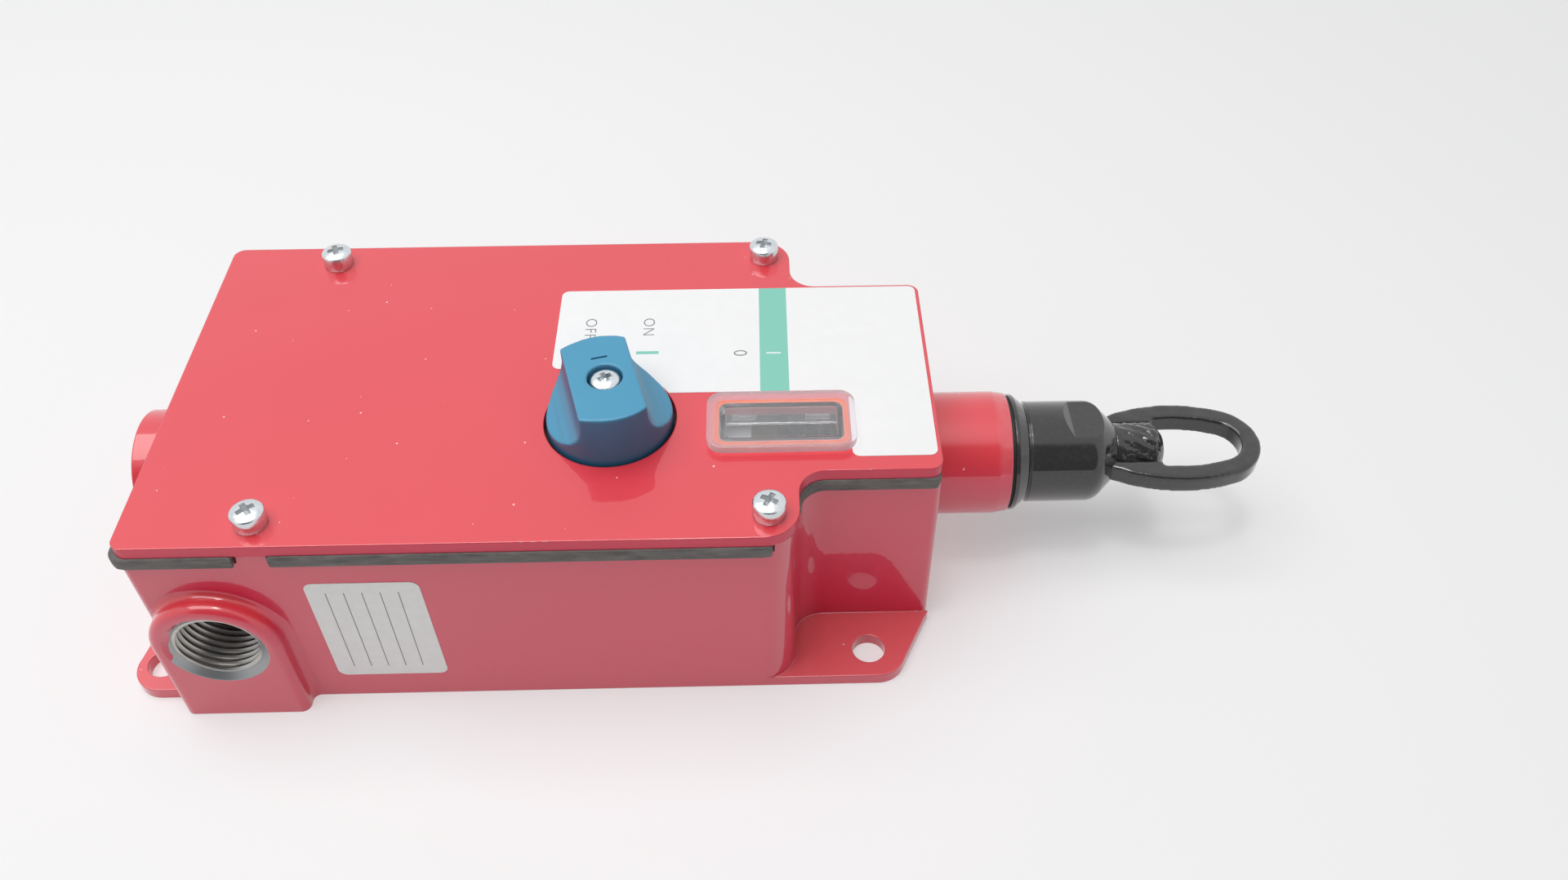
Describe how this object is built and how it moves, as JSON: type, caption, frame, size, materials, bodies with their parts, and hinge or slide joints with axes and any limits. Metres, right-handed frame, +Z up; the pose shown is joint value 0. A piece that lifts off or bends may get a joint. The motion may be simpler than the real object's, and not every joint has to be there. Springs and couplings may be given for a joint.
{
  "type": "rope pull switch",
  "caption": "Rope pull safety switch: red cast housing with neck and conduit entries, blue reset knob, tension window and sprung rod with a rope eye.",
  "frame": {"origin": "centre of the four mounting holes, on the mounting plane under the floor", "axes": "+X along the rope axis, out of the eye end; +Z up from the mounting plane, towards the cover"},
  "size_m": [0.2923, 0.1154, 0.0734],
  "materials": {
    "red_paint": "gloss",
    "gasket_rubber": "matt",
    "zinc": "bright",
    "clear_plastic": "clear gloss",
    "seal_rubber": "matt",
    "black_plastic": "satin",
    "black_rubber": "matt",
    "bronze": "satin",
    "brass": "bright",
    "green_zinc": "satin",
    "spring_steel": "satin",
    "bright_steel": "bright",
    "cream_plastic": "satin",
    "grey_plastic": "satin",
    "black_paint": "gloss",
    "blue_plastic": "satin",
    "red_plastic": "satin"
  },
  "bodies": {
    "frame": {"housing": "red_paint", "cover": "red_paint", "cover_gasket": "gasket_rubber", "cover_screws": "zinc", "window_lens": "clear_plastic", "lens_seal": "seal_rubber", "knob_bush": "black_plastic", "bush_screws": "zinc", "spindle_seal": "black_rubber", "guide_bush": "bronze", "wiper_ring": "black_rubber", "mech_plate": "zinc", "plate_screws": "zinc", "latch_guide": "black_plastic", "switch_near": "black_plastic", "switch_far": "black_plastic", "switch_screws": "zinc", "terminal_screws": "brass", "ground_screw": "green_zinc", "main_spring": "spring_steel"},
    "pull_rod": {"pull_shaft": "bright_steel", "cam_slide": "cream_plastic", "cam_pin": "bright_steel", "spring_collar": "bright_steel", "indicator_flag": "grey_plastic", "sleeve": "black_paint", "face_seal": "black_rubber", "eye_stud": "black_paint", "eye_ring": "black_paint"},
    "reset": {"reset_knob": "blue_plastic", "knob_screw": "zinc", "spindle": "bright_steel", "spindle_clip": "spring_steel", "reset_crank": "bright_steel"},
    "latch": {"latch_bolt": "bright_steel"},
    "plunger_near_body": {"plunger_near": "red_plastic"},
    "plunger_far_body": {"plunger_far": "red_plastic"}
  },
  "joints": [
    {"name": "pull_slide", "type": "slide", "parent": "frame", "child": "pull_rod", "axis": [1, 0, 0], "range_m": [0, 0.018], "stiffness_N_per_m": 4000, "springref_m": -0.004, "deforming": ["main_spring"]},
    {"name": "reset_turn", "type": "hinge", "parent": "frame", "child": "reset", "pos_m": [0.0269, -0.0154, 0.0594], "axis": [0, 0, 1], "range_deg": [-45, 0]},
    {"name": "latch_slide", "type": "slide", "parent": "frame", "child": "latch", "axis": [0, 1, 0], "range_m": [0, 0.0032]},
    {"name": "plunger_near_slide", "type": "slide", "parent": "frame", "child": "plunger_near_body", "axis": [0, -1, 0], "range_m": [0, 0.0031]},
    {"name": "plunger_far_slide", "type": "slide", "parent": "frame", "child": "plunger_far_body", "axis": [0, 1, 0], "range_m": [0, 0.0031]}
  ],
  "couplings": [
    {"joint": "reset_turn", "follows": "latch_slide", "rad_per_m": -244.33},
    {"joint": "plunger_near_slide", "follows": "pull_slide", "ratio": 0.16667},
    {"joint": "plunger_far_slide", "follows": "pull_slide", "ratio": 0.16667}
  ]
}
